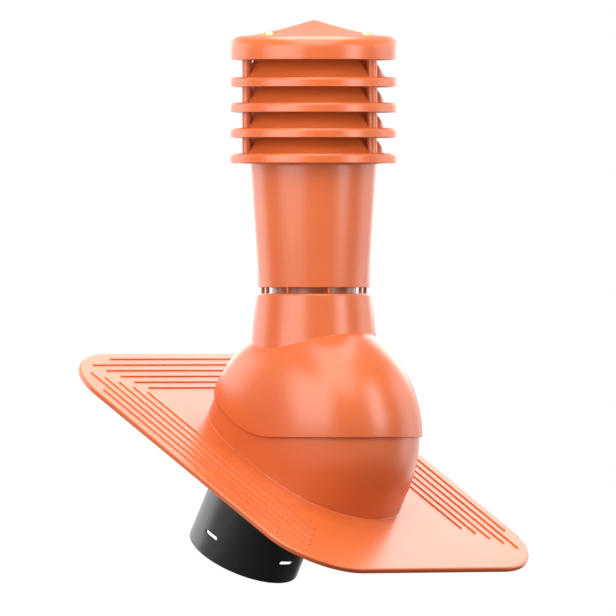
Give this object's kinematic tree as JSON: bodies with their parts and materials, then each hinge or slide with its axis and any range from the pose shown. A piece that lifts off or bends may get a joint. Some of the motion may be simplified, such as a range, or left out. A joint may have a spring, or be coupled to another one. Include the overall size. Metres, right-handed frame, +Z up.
{
  "type": "roof vent pipe",
  "caption": "Plastic roof vent: ribbed flashing plate for a pitched roof, tilting ball-shaped hood, upright pipe, louvre rings and a rain cap, over a duct spigot.",
  "frame": {"origin": "middle of the flashing's lower edge, on the plane where its turned-down edge rests on the roof", "axes": "+Z up along the stack, -Y down the roof's slope, +X level along the roof; the plate leans by a roof pitch of 30 degrees about X"},
  "size_m": [0.449, 0.4847, 0.7333],
  "materials": {
    "terracotta_plastic": "semi-gloss moulded",
    "black_plastic": "semi-gloss moulded",
    "yellow_zinc_steel": "yellow zinc plating"
  },
  "bodies": {
    "base": {"flashing": "terracotta_plastic", "spigot": "black_plastic"},
    "stack": {"hood": "terracotta_plastic", "stack_tube": "terracotta_plastic", "louvre_ring_1": "terracotta_plastic", "louvre_ring_2": "terracotta_plastic", "louvre_ring_3": "terracotta_plastic", "louvre_ring_4": "terracotta_plastic", "cap": "terracotta_plastic", "cap_screw_1": "yellow_zinc_steel", "cap_screw_2": "yellow_zinc_steel", "cap_screw_3": "yellow_zinc_steel"}
  },
  "joints": [
    {"name": "roof_pitch", "type": "hinge", "parent": "base", "child": "stack", "pos_m": [0, 0.21871, 0.17419], "axis": [1, 0, 0], "range_deg": [0, 25]}
  ]
}
